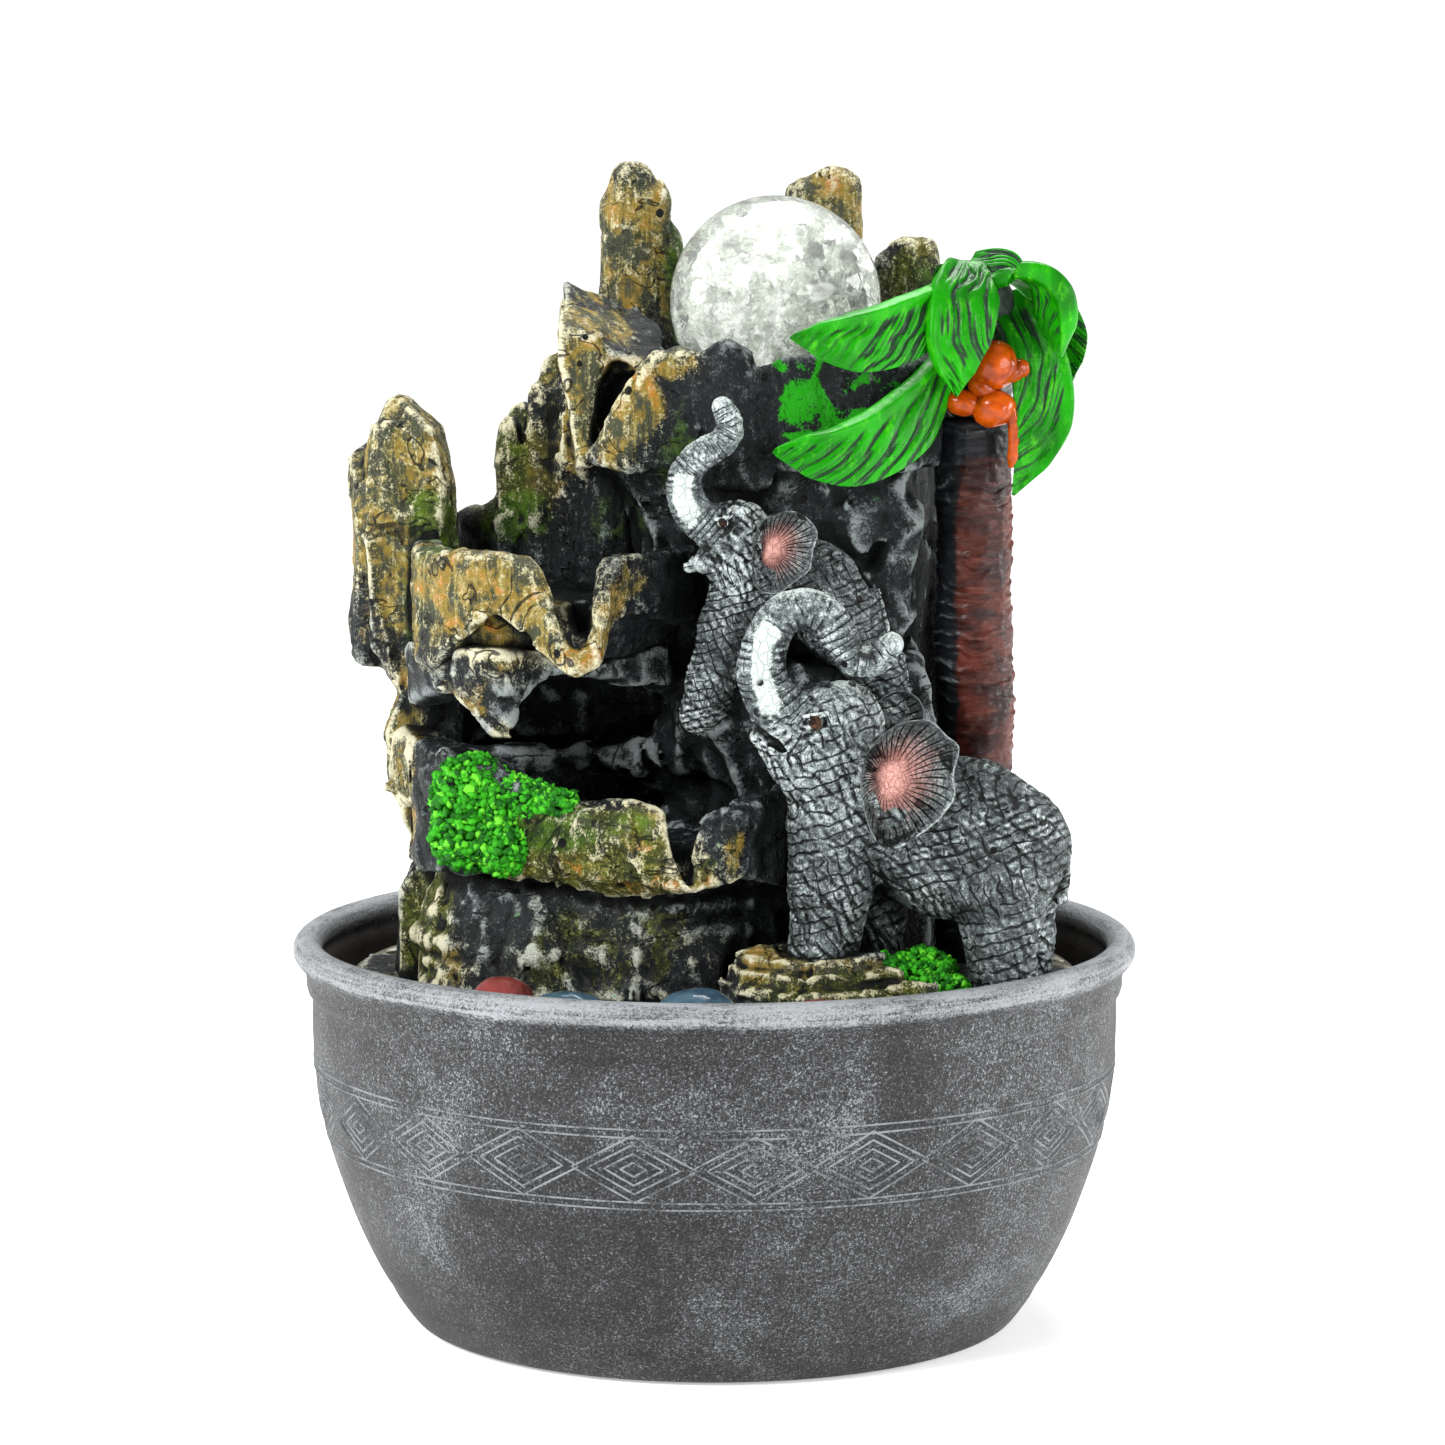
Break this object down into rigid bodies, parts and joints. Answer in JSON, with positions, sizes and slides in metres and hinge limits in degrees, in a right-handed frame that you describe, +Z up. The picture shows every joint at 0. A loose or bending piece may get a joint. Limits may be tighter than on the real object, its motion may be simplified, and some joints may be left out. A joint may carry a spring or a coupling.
{
  "type": "tabletop water fountain",
  "caption": "Tabletop water fountain: round bowl, cast rockery with three spill trays, palm, two elephants and a crackle-glass ball turning on a lit cup.",
  "frame": {"origin": "centre of the bowl's foot, on the table", "axes": "+Z up, -Y towards the front, +X to the right as seen from the front"},
  "size_m": [0.2, 0.1999, 0.2725],
  "materials": {
    "bowl_resin": "dark grey-brown resin, dry brushed light grey",
    "rock_resin": "charcoal resin rock with ochre, cream and moss green paint",
    "deck_resin": "stone coloured resin",
    "elephant_resin": "grey resin, dry brushed pale green-white",
    "ear_resin": "grey resin with a pink inner face",
    "trunk_paint": "dark red-brown gloss paint",
    "leaf_paint": "bright green gloss paint with dark veins",
    "nut_paint": "orange gloss paint",
    "moss_flock": "bright green granules",
    "crackle_glass": "clear glass, crackled inside",
    "black_plastic": "black moulded plastic",
    "clear_lens": "clear epoxy",
    "rotor_ferrite": "dark ferrite magnet and white blades",
    "axle_steel": "polished steel pin",
    "sucker_rubber": "soft black rubber",
    "clear_hose": "clear vinyl hose",
    "red_pebble": "dark red gloss river stone",
    "blue_pebble": "slate blue gloss river stone"
  },
  "bodies": {
    "bowl": {"bowl": "bowl_resin"},
    "ball": {"glass_ball": "crackle_glass"},
    "impeller": {"impeller": "rotor_ferrite"},
    "flow_knob": {"flow_knob": "black_plastic"},
    "strainer": {"pump_strainer": "black_plastic"},
    "pebbles": {"pebble_red_left": "red_pebble", "pebble_red_right": "red_pebble", "pebble_blue_left": "blue_pebble", "pebble_blue_centre": "blue_pebble"},
    "rockery": {"rock_deck": "deck_resin", "left_spire": "rock_resin", "rear_spire": "rock_resin", "right_spire": "rock_resin", "upper_basin": "rock_resin", "middle_basin": "rock_resin", "lower_basin": "rock_resin", "cliff_foot": "rock_resin", "left_pillar": "rock_resin", "stepped_columns": "rock_resin", "rock_wall": "rock_resin", "calf_boulder": "rock_resin", "elephant_slab": "rock_resin", "adult_elephant": "elephant_resin", "calf_elephant": "elephant_resin", "adult_ears": "ear_resin", "calf_ear": "ear_resin", "palm_trunk": "trunk_paint", "palm_crown": "leaf_paint", "frond_upper_left": "leaf_paint", "frond_lower_left": "leaf_paint", "frond_front": "leaf_paint", "frond_upper_right": "leaf_paint", "frond_lower_right": "leaf_paint", "frond_back": "leaf_paint", "frond_back_right": "leaf_paint", "coconuts": "nut_paint", "moss_ledge": "moss_flock", "moss_ground": "moss_flock", "ball_cup": "black_plastic", "light_housing": "black_plastic", "light_lenses": "clear_lens", "pump_housing": "black_plastic", "chamber_plate": "black_plastic", "pump_gland": "sucker_rubber", "rotor_axle": "axle_steel", "axle_bush": "sucker_rubber", "suction_cups": "sucker_rubber", "water_tube": "clear_hose", "light_lead": "sucker_rubber"}
  },
  "joints": [
    {"name": "rockery_lift", "type": "slide", "parent": "bowl", "child": "rockery", "axis": [0, 0, 1], "range_m": [0, 0.1]},
    {"name": "ball_spin", "type": "hinge", "parent": "rockery", "child": "ball", "pos_m": [0.0144, 0.01, 0.2407], "axis": [1, 0, 0], "continuous": true},
    {"name": "impeller_spin", "type": "hinge", "parent": "rockery", "child": "impeller", "pos_m": [0.006, 0.01, 0.021], "axis": [1, 0, 0], "continuous": true},
    {"name": "flow_knob_turn", "type": "hinge", "parent": "rockery", "child": "flow_knob", "pos_m": [0.002, 0.0262, 0.023], "axis": [0, 1, 0], "range_deg": [0, 90]},
    {"name": "strainer_pull", "type": "slide", "parent": "rockery", "child": "strainer", "axis": [-1, 0, 0], "range_m": [0, 0.02]},
    {"name": "pebbles_lift", "type": "slide", "parent": "rockery", "child": "pebbles", "axis": [0, 0, 1], "range_m": [0, 0.05]}
  ]
}
